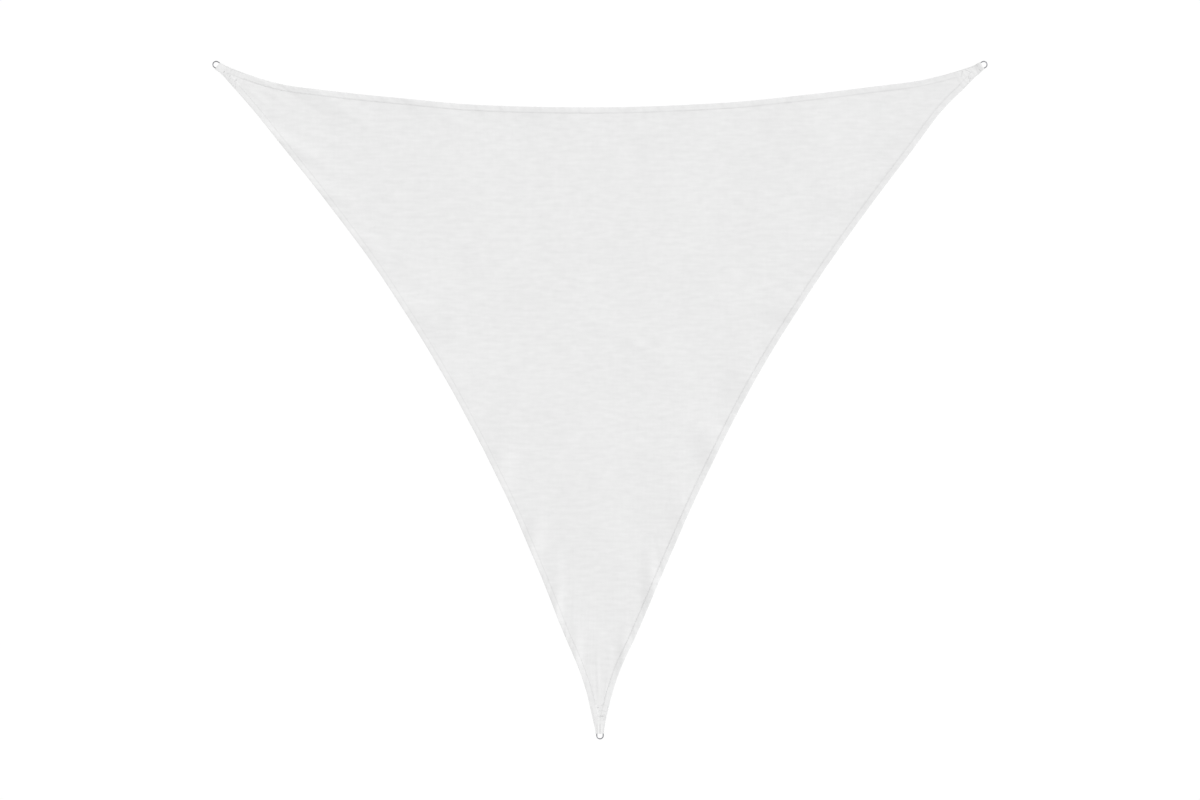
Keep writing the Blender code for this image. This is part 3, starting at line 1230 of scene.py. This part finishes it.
@dataclass
class Hem:
    """A hem turned over on the sheet's upper side, with a sewn groove near its rim.

    The rows of its section are given in mm: on its top from the edge and back from its
    rim, round the rim (back from it, and down from the top), and on its underside.
    """

    plan: SailPlan
    relief: Relief
    width: float = 0.0285
    layer: float = 0.0012
    nose: float = 0.0012
    nose_steps: int = 8
    top_rows: tuple[float, ...] = (3, 6, 10, 14, 18, 22)
    rim_rows: tuple[float, ...] = (5, 4, 3, 2, 1, 0.4)
    rim_round: tuple[tuple[float, float], ...] = ((0.05, 0.2), (0.0, 0.5), (0.1, 1.15))
    under_row: float = 14
    top_from: float = 0.0015  # rows above this height bulge and are drawn in
    groove_at: float = 0.0255
    groove_width: float = 0.0018
    groove_depth: float = 0.0002
    dome: float = 0.0005
    dome_width: float = 0.020
    gather_lengths: tuple[float, ...] = (0.023, 0.037, 0.061)  # the seam's slack and tight runs
    gather_share: float = 0.8
    pinch: float = 0.25  # the share of the groove's depth that each stitch adds
    spacing: float = 0.0045
    stitch_pitch: float = 0.0090

    def groove(self, inset: np.ndarray) -> np.ndarray:
        """How deep the thread draws the hem in, for distances from the edge."""
        return self.groove_depth * np.exp(-(((inset - self.groove_at) / self.groove_width) ** 2))

    def profile(self) -> np.ndarray:
        """Lays out the hem's section.

        Returns:
            Pairs of distance from the edge and height over the cloth's underside.
        """
        turn = np.linspace(-math.pi / 2, -3 * math.pi / 2, self.nose_steps + 1)
        nose = self.nose * (1 + np.column_stack((np.cos(turn), np.sin(turn))))
        top, rim = 2 * self.layer, self.width
        run = [(row * MM, top) for row in self.top_rows]
        run += [(rim - row * MM, top) for row in self.rim_rows]
        run += [(rim - back * MM, top - down * MM) for back, down in self.rim_round]
        run += [(self.under_row * MM, self.layer), (self.nose, self.layer)]
        return np.vstack((nose, run))

    def seam_row(self) -> int:
        """The row of the section on which the thread runs."""
        profile = self.profile()
        return int(np.argmin(np.abs(profile[:, 0] - self.groove_at) - profile[:, 1]))

    def surface(
        self, edge: Edge, along: np.ndarray, inset: np.ndarray, rise: np.ndarray
    ) -> np.ndarray:
        """Points of the hem.

        Args:
            edge: the edge that it follows.
            along: fractions along the edge.
            inset: distances from the edge in the full section.
            rise: heights over the cloth's underside in the section.

        Returns:
            The points, with the section narrowed where two hems meet at a tip.
        """
        room = np.minimum(self.plan.room(edge, along), self.width)
        narrow = (room - self.nose) / (self.width - self.nose)
        inset_here = np.where(inset > self.nose, self.nose + (inset - self.nose) * narrow, inset)
        plan = self.plan.edge_points(edge, along)
        plan = plan + inset_here[:, None] * self.plan.inward(edge, along)
        arc = along * self.plan.span(edge)
        waves = [np.cos(2 * math.pi * arc / length) for length in self.gather_lengths]
        gather = 1 + self.gather_share * sum(waves) / math.sqrt(len(waves))
        bulge = np.sin(math.pi * np.clip(inset / self.dome_width, 0, 1))
        crown = self.dome * bulge * self.plan.tip_lift(plan) * gather
        stitch = np.cos(2 * math.pi * arc / self.stitch_pitch)
        tight = gather * (1 - self.pinch + self.pinch * stitch)
        height = rise + (rise > self.top_from) * (crown - self.groove(inset) * tight)
        return np.column_stack((plan, self.relief.height(plan) + height))

    def build(self, edge: Edge) -> bpy.types.Object:
        """Makes the hem of one edge.

        Args:
            edge: the edge.

        Returns:
            The new object.
        """
        profile = self.profile()
        length = self.plan.curve_length(edge)
        along = self.plan.stations(edge, round(length / self.spacing) + 1)
        count = len(profile)

        def place(column: np.ndarray, row: np.ndarray) -> np.ndarray:
            """The hem's points, with its section closed."""
            return self.surface(edge, along[column], *profile[row % count].T)

        uv_size = (length, count * MM)  # a millimetre for each row of the section
        return grid_piece(f"hem_{edge.value}", len(along) - 1, count, place, uv_size, tube=True)


@dataclass
class Stitcher:
    """Lays stitches as short rounded strands, joined in one mesh."""

    thread: float = 0.0009  # real thread is 0.4 mm, drawn thicker to show
    sunk: float = 0.35  # the share of the thread that the cloth swallows
    sides: int = 6
    bands: int = 5
    batch: int = 40  # a small mesh takes a new stitch much faster than a large one

    def strand(self, mesh: bmesh.types.BMesh, start: Vector, end: Vector) -> None:
        """Adds one stitch to a mesh.

        Args:
            mesh: the mesh.
            start: the stitch's first end.
            end: its other end.
        """
        radius = self.thread / 2
        along = end - start
        middle = (start + end) / 2 + Vector((0, 0, radius * (1 - 2 * self.sunk)))
        turn = along.to_track_quat("Z", "Y").to_matrix().to_4x4()
        size = Matrix.Diagonal((radius, radius, along.length / 2 + radius, 1))
        bmesh.ops.create_uvsphere(
            mesh,
            u_segments=self.sides,
            v_segments=self.bands,
            radius=1,
            matrix=Matrix.Translation(middle) @ turn @ size,
        )

    def lay(self, name: str, strands: list[tuple[Vector, Vector]]) -> bpy.types.Object:
        """Makes one piece of stitches.

        Args:
            name: the piece's name.
            strands: the two ends of each stitch, on the cloth's surface.

        Returns:
            The new object.
        """
        lot = bpy.data.meshes.new("stitches")
        row = bmesh.new()
        for first in range(0, len(strands), self.batch):
            few = bmesh.new()
            for start, end in strands[first : first + self.batch]:
                self.strand(few, start, end)
            few.to_mesh(lot)
            few.free()
            row.from_mesh(lot)
        bpy.data.meshes.remove(lot)
        return make_piece(name, row)


@dataclass
class HemStitching:
    """The one row of lockstitch that holds a hem down."""

    hem: Hem
    stitcher: Stitcher
    share: float = 0.78  # of the pitch that a stitch covers
    first: float = 0.1  # of the pitch that the row starts after
    slant: float = 0.0005
    fine: int = 4001  # the stations that the row is laid out with
    seed: int = 11

    def build(self, edge: Edge) -> bpy.types.Object:
        """Makes the row of one edge.

        Args:
            edge: the edge.

        Returns:
            The new object.
        """
        draw = random.Random(f"{self.seed}{edge.value}")
        hem = self.hem
        count = round(hem.plan.curve_length(edge) / hem.stitch_pitch)
        dense = hem.plan.stations(edge, self.fine)
        starts = (np.arange(count) + self.first) / count
        rows = []
        for share in (starts, starts + self.share / count):
            along = np.interp(share, np.linspace(0, 1, self.fine), dense)
            inset = np.full(count, hem.groove_at)
            inset += [draw.uniform(-self.slant, self.slant) for _ in range(count)]
            rows.append(hem.surface(edge, along, inset, np.full(count, 2 * hem.layer)))
        strands = [(Vector(start), Vector(end)) for start, end in zip(*rows)]
        return self.stitcher.lay(f"hem_stitches_{edge.value}", strands)


@dataclass
class CornerStrap:
    """A strip of webbing folded round a ring's bar and sewn under the cloth's tip."""

    plan: SailPlan
    ring_leg: float = 0.015
    bar_height: float = 0.004506
    loop_radius: float = 0.003756
    thickness: float = 0.0015
    rims: float = 0.0004
    width: float = 0.020
    end: float = 0.112
    slope: float = math.radians(12)
    lower_height: float = 0.00075
    upper_height: float = 0.00255
    landing: float = 0.004  # the bend where the upper leg comes down on the lower one
    landing_reach: float = 0.03
    step: float = 0.002
    loop_steps: int = 20
    across: int = 40
    rib_rise: float = 0.00012
    ribs: int = 10

    def path(self) -> np.ndarray:
        """Lays out the strap's side view.

        Returns:
            Points from its lower end round the bar to its upper end.
        """
        turn = np.linspace(1.5 * math.pi, math.pi / 2 - self.slope, self.loop_steps + 1)
        loop = self.loop_radius * np.column_stack((np.cos(turn), np.sin(turn)))
        loop += (self.ring_leg, self.bar_height)
        lower = np.arange(self.end, self.ring_leg, -self.step)
        lower = np.column_stack((lower, np.full(len(lower), self.lower_height)))
        start, high = loop[-1]
        fall = math.tan(self.slope)
        lands = start + (high - self.upper_height) / fall
        run = np.append(np.arange(start + self.step, self.end, self.step), self.end)
        gap = high - (run - start) * fall - self.upper_height
        blend = fall * self.landing / 2
        soft = (gap + np.sqrt(gap**2 + blend**2 * (run < lands + self.landing_reach))) / 2
        return np.vstack((lower, loop, np.column_stack((run, self.upper_height + soft))))

    def build(self, corner: Corner) -> bpy.types.Object:
        """Makes the strap of one corner.

        Args:
            corner: the corner.

        Returns:
            The new object.
        """
        path = self.path()
        matrix = np.array(self.plan.corner_frame(corner))

        def place(column: np.ndarray, row: np.ndarray) -> np.ndarray:
            """Places the strap's points, with its ribs.

            Args:
                column: the points' numbers along the strap.
                row: their numbers across it.

            Returns:
                The points.
            """
            share = row / self.across
            x, z = path[column].T
            z = z + self.rib_rise * (1 + np.cos(2 * math.pi * self.ribs * share)) / 2
            local = np.column_stack((x, (share - 0.5) * self.width, z, np.ones(len(x))))
            return (local @ matrix.T)[:, :3]

        name = f"corner_strap_{corner.value}"
        uv_size = (float(walked(path)[-1]), self.width)
        strap = grid_piece(name, len(path) - 1, self.across, place, uv_size)
        thicken(strap, self.thickness, offset=0, rims=self.rims, even=True)
        return strap


@dataclass
class TipFlap:
    """The end of a tip, turned back over the hems: a soft flap with a rounded nose."""

    plan: SailPlan
    relief: Relief
    layer: float = 0.0012
    hem_width: float = 0.0256  # from its own side to just before the hem's rim
    hem_fade: float = 0.0032  # the flap runs down off the hem's rim over this width
    gap: float = 0.0001
    thickness: float = 0.0008
    rims: float = 0.0003
    margin: float = 0.0013  # how far its sides lie inside the cloth's edges
    nose_start: float = 0.0012  # how far the nose's middle lies inside the straight cut
    nose_turn: tuple[float, float] = (-70.0, 90.0)  # from under the tip up to its top
    nose_steps: int = 8
    reach: float = 0.136
    spacing: float = 0.0016
    across: int = 60
    groove_depth: float = 0.0005  # how far a row of stitches draws the layers in
    groove_width: float = 0.0032
    groove_ends: float = 0.15  # a row's groove runs out over this share of the tip
    puff: float = 0.0005  # how far the cloth stands up between the rows
    puff_length: float = 0.019
    puff_slant: tuple[float, float] = (0.031, 2.4)  # a puff turns so many radians over this
    puff_start: tuple[float, float] = (0.02, 0.05)
    puff_fade: float = 0.035  # and it lies flat again by the flap's end
    pleat_corner: Corner = Corner.BOTTOM  # the tip whose cloth sinks in between two ridges
    pleat_off: float = 0.0025
    pleat_run: tuple[float, float, float, float] = (0.006, 0.018, 0.036, 0.075)
    pleat_width: float = 0.0075  # from its bottom to the ridge on each side
    pleat_fade: float = 1.4  # and it dies out over this many widths
    pleat_depth: float = 0.0013
    seam_margin: float = 0.004  # how far in from its sides the flap is sewn down
    seam_start: tuple[float, float] = (0.012, 0.02)
    end_reach: float = 0.012  # its end is pressed down over this length
    end_sink: float = 0.0009
    fine: int = 600  # the points that a side is laid out with
    spare: float = 1.4  # over a length that is so much longer than the flap

    def side(self, corner: Corner, edge: Edge) -> np.ndarray:
        """Lays out one side of the flap.

        Args:
            corner: the flap's corner.
            edge: the edge that the side follows.

        Returns:
            Plan points, evenly spaced from the nose to the flap's end.
        """
        first, last = EDGE_RANGE
        away = np.linspace(0, self.spare * (self.nose_start + self.reach), self.fine)
        along = away / self.plan.span(edge)
        along = first + along if EDGE_ENDS[edge][0] is corner else last - along
        points = self.plan.edge_points(edge, along) + self.margin * self.plan.inward(edge, along)
        run = self.nose_start + np.linspace(0, self.reach, round(self.reach / self.spacing) + 1)
        return points_at(points, walked(points), run)

    def sides(self, corner: Corner) -> tuple[np.ndarray, np.ndarray]:
        """Lays out both sides of the flap.

        Args:
            corner: the flap's corner.

        Returns:
            The plan points of the lower side and of the upper one.
        """
        runs = [self.side(corner, edge) for edge in Edge if corner in EDGE_ENDS[edge]]
        low, high = sorted(runs, key=lambda run: self.plan.local(corner, run)[0, 1])
        return low, high

    def height(self, corner: Corner, points: np.ndarray) -> np.ndarray:
        """Finds the height of the middle of the flap's cloth.

        Args:
            corner: the flap's corner.
            points: plan points.

        Returns:
            The height at each.
        """
        low, high = self.sides(corner)
        depth = np.full(len(points), np.inf)
        for rim in (*low, *high):
            depth = np.minimum(depth, np.linalg.norm(points - rim, axis=1))
        over_hems = 1 - smooth_step(self.hem_width, self.hem_width + self.hem_fade, depth)
        run, off = self.plan.local(corner, points).T
        low_line, high_line = (self.plan.local(corner, side).T for side in (low, high))
        bottom, top = np.interp(run, *low_line), np.interp(run, *high_line)
        share = (off - (top + bottom) / 2) / ((top - bottom) / 2)
        low_end, high_end = low_line[0, -1], high_line[0, -1]
        before_end = (high_end + low_end) / 2 + share * (high_end - low_end) / 2 - run
        drawn = np.zeros(len(points))
        for row in TIP_ROWS[corner]:
            away = run - row.run(share)
            ends = smooth_step(row.low - self.groove_ends, row.low, share)
            ends *= 1 - smooth_step(row.high, row.high + self.groove_ends, share)
            drawn = np.maximum(drawn, ends * np.exp(-((away / self.groove_width) ** 2)))
        length, turn = self.puff_slant
        phase = len(corner.value)  # so that no two tips are alike
        puffs = np.cos(2 * math.pi * run / self.puff_length + turn * off / length + phase)
        puffs = self.puff * (1 + puffs) / 2 * (1 - drawn) * smooth_step(*self.puff_start, run)
        puffs *= smooth_step(0, self.puff_fade, before_end)
        sewn = np.exp(-(((depth - self.seam_margin) / self.groove_width) ** 2))
        drawn = np.maximum(drawn, sewn * smooth_step(*self.seam_start, run))
        rise = self.layer * (1 + over_hems) + self.gap + self.thickness / 2
        rise = rise + puffs - self.groove_depth * drawn * over_hems
        rise -= self.end_sink * (1 - smooth_step(0, self.end_reach, before_end))
        if corner is self.pleat_corner:
            rise += self.pleat(run, off)
        return self.relief.height(points) + rise

    def pleat(self, run: np.ndarray, off: np.ndarray) -> np.ndarray:
        """Finds how high a tip's pleat is.

        Args:
            run: how far along the middle line the points are.
            off: how far off it they are.

        Returns:
            The height at each point, below 0 in the pleat's bottom.
        """
        starts, full, ends, gone = self.pleat_run
        along = smooth_step(starts, full, run) * (1 - smooth_step(ends, gone, run))
        away = (off - self.pleat_off) / self.pleat_width
        across = -np.cos(math.pi * away) * np.exp(-((away / self.pleat_fade) ** 2))
        return self.pleat_depth * along * across

    def build(self, corner: Corner) -> bpy.types.Object:
        """Makes the flap of one corner.

        Args:
            corner: the corner.

        Returns:
            The new object.
        """
        low, high = self.sides(corner)
        bends = np.radians(np.linspace(*self.nose_turn, self.nose_steps + 1))
        cut = (high[0] - low[0]) / np.linalg.norm(high[0] - low[0])
        outward = np.array((-cut[1], cut[0]))
        radius = (2 * self.layer + self.gap) / 2

        def place(column: np.ndarray, row: np.ndarray) -> np.ndarray:
            """Places the flap's points, first round its nose, then between its two sides.

            Args:
                column: the points' numbers away from the ring.
                row: their numbers across the flap.

            Returns:
                The points.
            """
            share = (row / self.across)[:, None]
            step = np.maximum(column - self.nose_steps, 0)
            plan = low[step] + share * (high[step] - low[step])
            bend = bends[np.minimum(column, self.nose_steps)]
            height = self.height(corner, plan) + radius * (np.sin(bend) - 1)
            plan = plan + radius * np.cos(bend)[:, None] * outward
            return np.column_stack((plan, height))

        columns = self.nose_steps + len(low) - 1
        flap = grid_piece(f"tip_flap_{corner.value}", columns, self.across, place)
        thicken(flap, self.thickness, offset=0, rims=self.rims)
        return flap


@dataclass
class TipStitching:
    """The rows across a turned-back tip, the rows down its sides and its bar tacks."""

    flap: TipFlap
    stitcher: Stitcher
    pitch: float = 0.0042
    share: float = 0.8
    samples: int = 25  # the points that a row is laid out with
    tack_width: float = 0.009
    tack_pitch: float = 0.0010
    tack_length: float = 0.0034
    twin: float = 0.0017  # a row is sewn twice, this far apart

    def sew(self, line: np.ndarray) -> list[tuple[np.ndarray, np.ndarray]]:
        """Splits a sewn line into stitches.

        Args:
            line: the line's plan points.

        Returns:
            The two plan ends of each stitch.
        """
        walk = walked(line)
        count = max(round(walk[-1] / self.pitch), 1)
        middles = (np.arange(count) + 0.5) / count * walk[-1]
        reach = self.share / 2 * walk[-1] / count
        return list(zip(*(points_at(line, walk, middles + way) for way in (-reach, reach))))

    def across(self, corner: Corner, row: TipRow, shift: float) -> np.ndarray:
        """Lays out a row across the flap.

        Args:
            corner: the flap's corner.
            row: the row.
            shift: how much further it is from the ring than the table says.

        Returns:
            Plan points along the row.
        """
        low, high = self.flap.sides(corner)
        shares = np.linspace(0, 1, self.samples)
        points = []
        for share in shares:
            line = low + share * (high - low)
            run = self.flap.plan.local(corner, line)[:, 0]
            points.append(points_at(line, run, row.run(2 * share - 1) + shift))
        points = np.vstack(points)
        end = self.flap.seam_margin / np.linalg.norm(points[-1] - points[0])
        first, last = max((row.low + 1) / 2, end), min((row.high + 1) / 2, 1 - end)
        return points_at(points, shares, np.linspace(first, last, self.samples))

    def tacks(self, corner: Corner) -> list[tuple[np.ndarray, np.ndarray]]:
        """Lays out the stitches of a corner's bar tacks.

        Args:
            corner: the corner.

        Returns:
            The two plan ends of each stitch.
        """
        ahead, aside = self.flap.plan.axes(corner)
        reach = self.tack_length / 2 * ahead
        ends = []
        for at, off in TACKS[corner]:
            middle = self.flap.plan.corner(corner) + (at * ahead + off * aside) * MM
            for k in range(round(self.tack_width / self.tack_pitch) + 1):
                place = middle + (k * self.tack_pitch - self.tack_width / 2) * aside
                ends.append((place - reach, place + reach))
        return ends

    def build(self, corner: Corner) -> bpy.types.Object:
        """Makes the stitching of one corner.

        Args:
            corner: the corner.

        Returns:
            The new object.
        """
        ends = self.tacks(corner)
        for row in TIP_ROWS[corner]:
            for shift in (-self.twin / 2, self.twin / 2):
                ends += self.sew(self.across(corner, row, shift))
        low, high = self.flap.sides(corner)
        wide = np.linalg.norm(high - low, axis=1)[:, None]
        for side, other in ((low, high), (high, low)):
            ends += self.sew(side + self.flap.seam_margin * (other - side) / wide)
        points = np.array(ends).reshape(-1, 2)
        top = self.flap.height(corner, points) + self.flap.thickness / 2
        places = [Vector((x, y, z)) for (x, y), z in zip(points, top)]
        strands = list(zip(places[::2], places[1::2]))
        return self.stitcher.lay(f"tip_stitches_{corner.value}", strands)


@dataclass
class SteelRing:
    """A D-shaped ring of round wire: a half circle, two short legs and a straight bar."""

    plan: SailPlan
    strap: CornerStrap
    wire: float = 0.0025  # its radius
    inner_width: float = 0.025
    bend: float = 0.004
    tilt: float = math.radians(3.706)  # from the bar on its tab down to the surface
    section_sides: int = 24
    arc_steps: int = 24
    bend_steps: int = 8

    def build(self, corner: Corner) -> bpy.types.Object:
        """Makes the ring of one corner: half of it is spun and extruded, then mirrored.

        Args:
            corner: the corner.

        Returns:
            The new object.
        """
        leg = self.strap.ring_leg
        radius = self.inner_width / 2 + self.wire
        half = bmesh.new()
        upright = Matrix.Rotation(math.pi / 2, 4, "X")
        start = Matrix.Translation((-leg - radius, 0, 0)) @ upright
        bmesh.ops.create_circle(
            half, segments=self.section_sides, radius=self.wire, matrix=start
        )
        section = list(half.verts) + list(half.edges)
        section = self.spin(half, section, (-leg, 0, 0), self.arc_steps)
        section = self.stretch(half, section, (leg - self.bend, 0, 0))
        section = self.spin(half, section, (-self.bend, radius - self.bend, 0), self.bend_steps)
        self.stretch(half, section, (0, self.bend - radius, 0))
        whole = list(half.verts) + list(half.edges) + list(half.faces)
        bmesh.ops.mirror(half, geom=whole, matrix=Matrix(), merge_dist=MERGE_REACH, axis="Y")
        bmesh.ops.remove_doubles(half, verts=half.verts, dist=MERGE_REACH)
        bmesh.ops.recalc_face_normals(half, faces=half.faces)
        lean = Matrix.Rotation(-self.tilt, 4, "Y")
        seat = Matrix.Translation((leg, 0, self.strap.bar_height)) @ lean
        half.transform(self.plan.corner_frame(corner) @ seat)
        return make_piece(f"steel_ring_{corner.value}", half)

    @staticmethod
    def spin(mesh: bmesh.types.BMesh, section: list, centre: tuple, steps: int) -> list:
        """Turns a section a quarter round a centre.

        Args:
            mesh: the mesh that it belongs to.
            section: its points and edges.
            centre: the point that it is turned about.
            steps: how many steps the quarter has.

        Returns:
            The points and edges of the section at its end.
        """
        made = bmesh.ops.spin(
            mesh, geom=section, cent=centre, axis=(0, 0, 1), angle=-math.pi / 2, steps=steps
        )
        return [e for e in made["geom_last"] if not isinstance(e, bmesh.types.BMFace)]

    @staticmethod
    def stretch(mesh: bmesh.types.BMesh, section: list, step: tuple) -> list:
        """Extrudes a section straight on.

        Args:
            mesh: the mesh that it belongs to.
            section: its points and edges.
            step: the way that it is moved.

        Returns:
            The points and edges of the section at its end.
        """
        edges = [e for e in section if isinstance(e, bmesh.types.BMEdge)]
        made = bmesh.ops.extrude_edge_only(mesh, edges=edges)["geom"]
        ends = [e for e in made if isinstance(e, bmesh.types.BMVert)]
        bmesh.ops.translate(mesh, verts=ends, vec=step)
        made = [e for e in made if isinstance(e, bmesh.types.BMEdge)]
        return ends + [e for e in made if set(e.verts) <= set(ends)]


@dataclass
class Studio:
    """A white light table, one soft key light from the upper right, a pale sky and the camera.

    The table is opal acrylic that is lit from below, so it stays white in the shadows. Its
    own glow and what it throws back of the key light and the sky just make up full white:
    any brighter, it would eat the thin rings and the hems' rims.
    """

    key_bearing: float = 25.0
    key_elevation: float = 48.0
    key_strength: float = 1.7
    key_angle: float = 30.0
    sky: float = 0.7475
    floor_colour: str = "#3f3f3f"
    floor_glow: float = 0.96
    floor_drop: float = 0.0003
    floor_half: float = 60.0
    lens: float = 85.0
    sensor: float = 36.0
    camera_place: tuple[float, float, float] = (0.0, 0.0005, 13.23)

    def add_floor(self) -> None:
        """Adds the floor, the top of the light table."""
        table = bmesh.new()
        bmesh.ops.create_grid(table, x_segments=1, y_segments=1, size=self.floor_half)
        bmesh.ops.translate(table, verts=table.verts, vec=(0, 0, -self.floor_drop))
        floor = make_piece("floor", table)
        material = bpy.data.materials.new("opal_acrylic_lit_from_below")
        material.use_nodes = True
        shader = material.node_tree.nodes["Principled BSDF"]
        looks = {
            "Base Color": linear(self.floor_colour),
            "Roughness": 1.0,
            "Specular IOR Level": 0.0,
            "Emission Color": (1, 1, 1, 1),
            "Emission Strength": self.floor_glow,
        }
        for name, value in looks.items():
            shader.inputs[name].default_value = value
        floor.data.materials.append(material)

    def add_lights(self) -> None:
        """Adds the key light and the sky, which looks white but lights softly."""
        lamp = bpy.data.lights.new("key", "SUN")
        lamp.energy = self.key_strength
        lamp.angle = math.radians(self.key_angle)
        key = bpy.data.objects.new("key", lamp)
        bearing, rise = math.radians(self.key_bearing), math.radians(self.key_elevation)
        level = math.cos(rise)
        towards = (level * math.cos(bearing), level * math.sin(bearing), math.sin(rise))
        key.rotation_euler = Vector(towards).to_track_quat("Z", "Y").to_euler()
        bpy.context.scene.collection.objects.link(key)
        world = bpy.data.worlds.new("studio")
        world.use_nodes = True
        tree = world.node_tree
        seen = add_node(tree, "LightPath").outputs["Is Camera Ray"]
        strength = {0: seen, 1: 1 - self.sky, 2: self.sky}
        strength = add_node(tree, "Math", strength, operation="MULTIPLY_ADD")
        background = tree.nodes["Background"]
        background.inputs["Color"].default_value = (1, 1, 1, 1)
        tree.links.new(strength.outputs[0], background.inputs["Strength"])
        bpy.context.scene.world = world

    def add_camera(self) -> None:
        """Adds the camera, which looks straight down on the middle of the sail."""
        data = bpy.data.cameras.new("camera")
        data.lens = self.lens
        data.sensor_width = self.sensor
        camera = bpy.data.objects.new("camera", data)
        camera.location = self.camera_place
        bpy.context.scene.collection.objects.link(camera)
        bpy.context.scene.camera = camera
        bpy.context.scene.view_settings.view_transform = "Standard"


def main() -> None:
    """Builds the studio and the sail."""
    logging.basicConfig(level=logging.INFO, format="%(name)s: %(message)s")
    studio = Studio()
    studio.add_camera()
    studio.add_lights()
    studio.add_floor()

    plan = SailPlan()
    relief = Relief(plan)
    hem = Hem(plan, relief)

    knit = KnittedPolyethylene().build()
    # the hem's material has painted shade along its seam
    hemmed = KnittedPolyethylene("knitted_polyethylene_white_hem_painted_seam", seam_row=hem.seam_row())
    hemmed = hemmed.build()
    webbing = WovenPolyester().build()
    thread = TwistedThread().build()
    steel = DrawnStainless().build()

    sheet = ClothSheet(plan, relief).build()
    dress(sheet, knit)
    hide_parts("sail_cloth")

    stitcher = Stitcher()
    seam = HemStitching(hem, stitcher)
    sewn = []
    for edge in Edge:
        turned, row = hem.build(edge), seam.build(edge)
        dress(turned, hemmed)
        dress(row, thread)
        sewn += [turned, row]

    flap = TipFlap(plan, relief)
    tip_seams = TipStitching(flap, stitcher)
    strap = CornerStrap(plan)
    ring = SteelRing(plan, strap)
    for corner in Corner:
        turned, row = flap.build(corner), tip_seams.build(corner)
        band, wire = strap.build(corner), ring.build(corner)
        dress(turned, knit)
        dress(row, thread)
        dress(band, webbing)
        dress(wire, steel)
        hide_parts(f"corner_tab_{corner.value}")
        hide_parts(f"ring_{corner.value}")
        sewn += [turned, row, band, wire]


if __name__ == "__main__":
    main()
